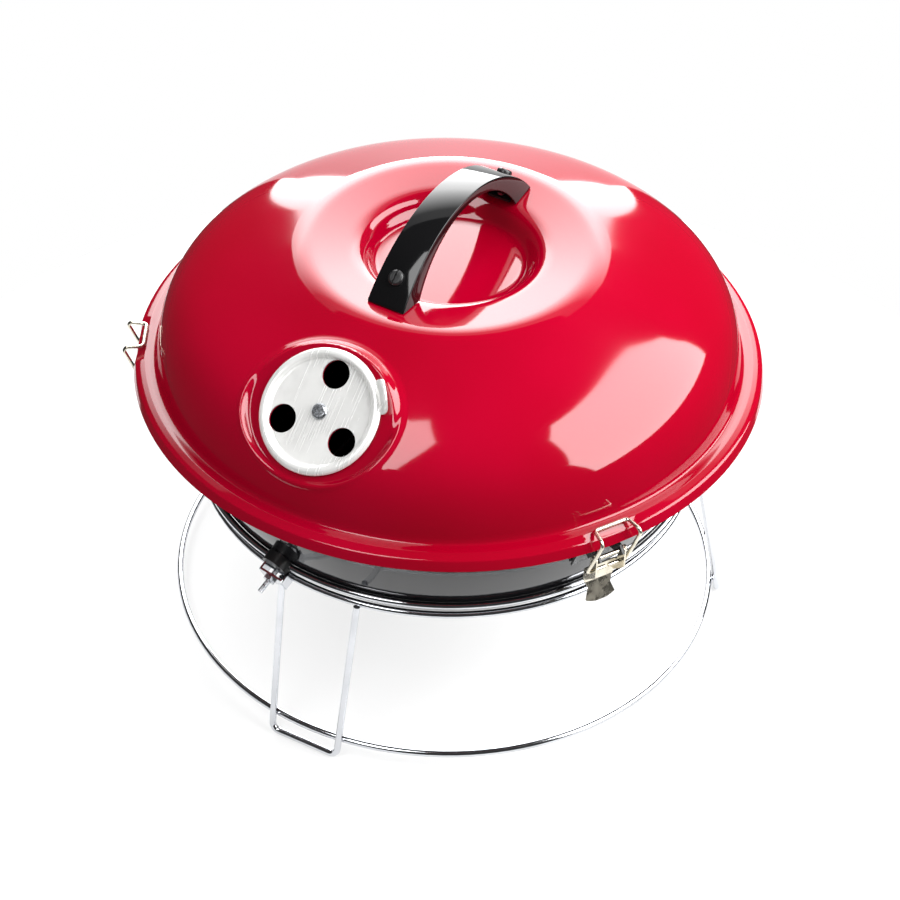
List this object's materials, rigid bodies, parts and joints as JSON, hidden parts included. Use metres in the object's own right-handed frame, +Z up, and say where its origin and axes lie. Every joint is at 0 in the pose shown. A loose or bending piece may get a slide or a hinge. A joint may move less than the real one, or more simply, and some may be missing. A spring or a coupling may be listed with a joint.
{
  "type": "kettle charcoal grill",
  "caption": "Portable round charcoal grill with a domed red lid, arched handle, turning vents, black bowl, draw latches and a chromed wire stand",
  "frame": {"origin": "On the ground under the common centre line of the bowl and the lid; the rear latch stands out further than the other two reach forwards, so the bounding box's centre is 2.9 mm behind it", "axes": "+Z up; the lid's vent and one end of the handle point to -Y, the front; +X is to the right when facing the vent"},
  "size_m": [0.3688, 0.3745, 0.291],
  "materials": {
    "red_enamel": "gloss red enamel",
    "black_enamel": "gloss black enamel",
    "handle_black": "gloss black coating",
    "bracket_steel": "black painted steel",
    "dark_screw": "blackened steel",
    "zinc_steel": "zinc plated",
    "polished_steel": "polished, faintly brushed",
    "chrome_wire": "chrome plated wire",
    "chrome_sheet": "chrome plated sheet",
    "black_rubber": "moulded black rubber",
    "nickel": "nickel plated",
    "base_black": "black painted steel",
    "grate_plating": "plated wire",
    "grate_steel": "plain steel wire"
  },
  "bodies": {
    "bowl": {"bowl_shell": "black_enamel", "bowl_vent_screw": "zinc_steel", "bowl_vent_nut": "zinc_steel", "cradle_ring": "chrome_wire", "stand_top_ring": "chrome_wire", "stand_ground_ring": "chrome_wire", "clamp_shoes": "black_rubber", "clamp_plates": "chrome_sheet", "clamp_nuts": "zinc_steel", "clamp_bolts": "zinc_steel", "latch_pivot_pins": "nickel", "latch_base_rivets": "dark_screw", "grate_rests": "bracket_steel", "grate_rest_rivets": "dark_screw", "stand_leg_front": "chrome_wire", "stand_leg_rear_right": "chrome_wire", "stand_leg_rear_left": "chrome_wire", "latch_base_right": "base_black", "latch_base_rear": "base_black", "latch_base_left": "base_black"},
    "lid": {"lid_shell": "red_enamel", "lid_handle": "handle_black", "handle_brackets": "bracket_steel", "handle_screws": "dark_screw", "handle_nuts": "zinc_steel", "handle_rivets": "zinc_steel", "lid_vent_screw": "zinc_steel", "lid_vent_nut": "zinc_steel"},
    "lid_damper": {"lid_damper": "polished_steel"},
    "bowl_damper": {"bowl_damper": "polished_steel"},
    "cooking_grate": {"cooking_grate": "grate_plating"},
    "charcoal_grate": {"charcoal_grate": "grate_steel"},
    "latch_lever_right": {"latch_lever_right": "nickel"},
    "latch_bail_right": {"latch_bail_right": "nickel"},
    "latch_lever_rear": {"latch_lever_rear": "nickel"},
    "latch_bail_rear": {"latch_bail_rear": "nickel"},
    "latch_lever_left": {"latch_lever_left": "nickel"},
    "latch_bail_left": {"latch_bail_left": "nickel"}
  },
  "joints": [
    {"name": "lid_lift", "type": "slide", "parent": "bowl", "child": "lid", "axis": [0, 0, 1], "range_m": [0, 0.026]},
    {"name": "lid_damper_turn", "type": "hinge", "parent": "lid", "child": "lid_damper", "pos_m": [0, -0.1365, 0.2286], "axis": [0, -0.66, 0.7513], "range_deg": [0, 60]},
    {"name": "bowl_damper_turn", "type": "hinge", "parent": "bowl", "child": "bowl_damper", "pos_m": [0, 0, 0.068], "axis": [0, 0, -1], "range_deg": [0, 60]},
    {"name": "cooking_grate_lift", "type": "slide", "parent": "bowl", "child": "cooking_grate", "axis": [0, 0, 1], "range_m": [0, 0.03]},
    {"name": "charcoal_grate_lift", "type": "slide", "parent": "bowl", "child": "charcoal_grate", "axis": [0, 0, 1], "range_m": [0, 0.05]},
    {"name": "latch_lever_right_turn", "type": "hinge", "parent": "bowl", "child": "latch_lever_right", "pos_m": [0.15459, -0.08925, 0.1625], "axis": [-0.5, -0.866, 0], "range_deg": [0, 115]},
    {"name": "latch_bail_right_turn", "type": "hinge", "parent": "latch_lever_right", "child": "latch_bail_right", "pos_m": [0.15346, -0.0886, 0.153], "axis": [0.5, 0.866, 0], "range_deg": [0, 271]},
    {"name": "latch_lever_rear_turn", "type": "hinge", "parent": "bowl", "child": "latch_lever_rear", "pos_m": [0, 0.1785, 0.1625], "axis": [1, 0, 0], "range_deg": [0, 115]},
    {"name": "latch_bail_rear_turn", "type": "hinge", "parent": "latch_lever_rear", "child": "latch_bail_rear", "pos_m": [0, 0.1772, 0.153], "axis": [-1, 0, 0], "range_deg": [0, 271]},
    {"name": "latch_lever_left_turn", "type": "hinge", "parent": "bowl", "child": "latch_lever_left", "pos_m": [-0.15459, -0.08925, 0.1625], "axis": [-0.5, 0.866, 0], "range_deg": [0, 115]},
    {"name": "latch_bail_left_turn", "type": "hinge", "parent": "latch_lever_left", "child": "latch_bail_left", "pos_m": [-0.15346, -0.0886, 0.153], "axis": [0.5, -0.866, 0], "range_deg": [0, 271]}
  ],
  "couplings": [
    {"joint": "latch_lever_right_turn", "follows": "lid_lift", "rad_per_m": 76.794},
    {"joint": "latch_bail_right_turn", "follows": "lid_lift", "rad_per_m": 181.51},
    {"joint": "latch_lever_rear_turn", "follows": "lid_lift", "rad_per_m": 76.794},
    {"joint": "latch_bail_rear_turn", "follows": "lid_lift", "rad_per_m": 181.51},
    {"joint": "latch_lever_left_turn", "follows": "lid_lift", "rad_per_m": 76.794},
    {"joint": "latch_bail_left_turn", "follows": "lid_lift", "rad_per_m": 181.51}
  ]
}
